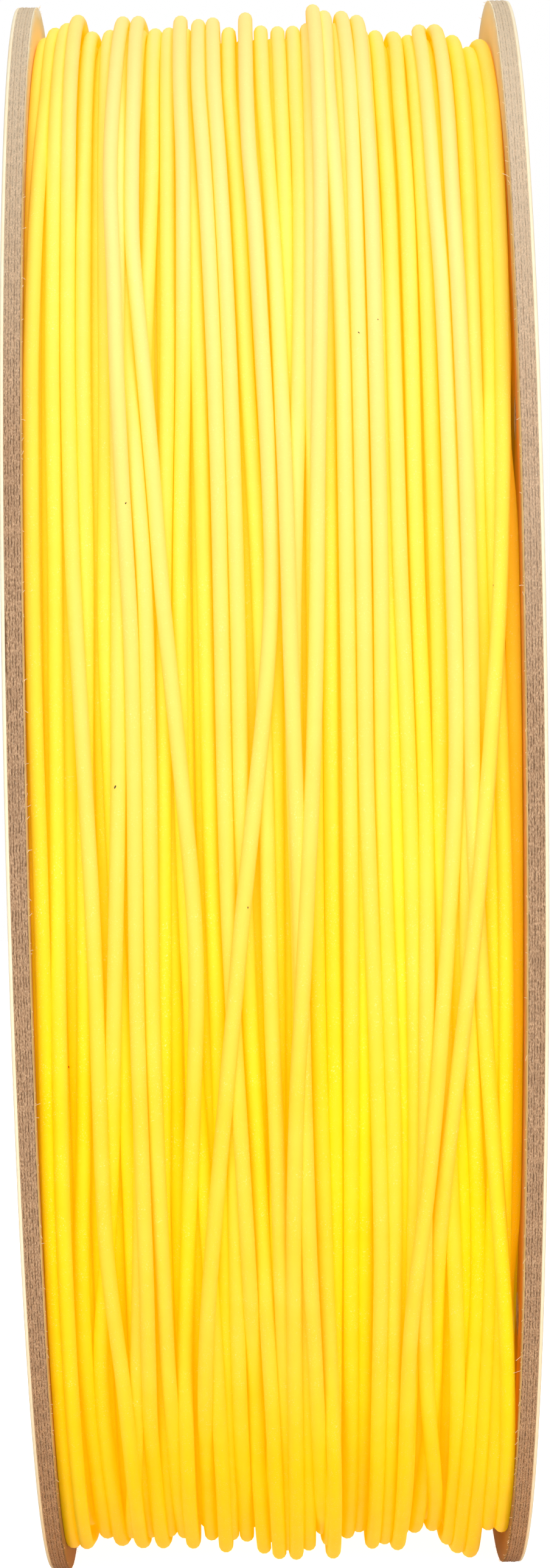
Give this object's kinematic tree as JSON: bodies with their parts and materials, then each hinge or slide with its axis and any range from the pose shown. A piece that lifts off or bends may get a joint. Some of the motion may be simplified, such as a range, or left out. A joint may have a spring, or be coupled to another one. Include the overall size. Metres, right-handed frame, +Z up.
{
  "type": "strand reel",
  "caption": "Flanged paperboard reel wound full of round plastic strand, with a spindle bore through its hollow core tube.",
  "frame": {"origin": "on the spindle axis, midway between the two flanges", "axes": "+X along the spindle axis from the left flange to the right one, +Z up with the reel standing on its rims, -Y towards the viewer of the picture"},
  "size_m": [0.061, 0.2, 0.2],
  "materials": {
    "facing_paper": "uncoated cream liner paper",
    "grey_board": "recycled grey-brown board with a fibrous cut edge",
    "tube_board": "spiral-wound kraft tube",
    "hot_melt_glue": "set hot-melt glue",
    "strand_plastic": "matte yellow extruded strand"
  },
  "bodies": {
    "root": {"left_outer_facing": "facing_paper", "left_outer_sheet": "grey_board", "left_middle_sheet": "grey_board", "left_inner_sheet": "grey_board", "left_inner_facing": "facing_paper", "left_locating_ring": "grey_board", "left_glue_bead": "hot_melt_glue", "right_outer_facing": "facing_paper", "right_outer_sheet": "grey_board", "right_middle_sheet": "grey_board", "right_inner_sheet": "grey_board", "right_inner_facing": "facing_paper", "right_locating_ring": "grey_board", "right_glue_bead": "hot_melt_glue", "core_tube": "tube_board", "strand_inner_layers": "strand_plastic", "strand_outer_turns": "strand_plastic", "strand_inner_end": "strand_plastic", "strand_free_end": "strand_plastic"}
  },
  "joints": []
}
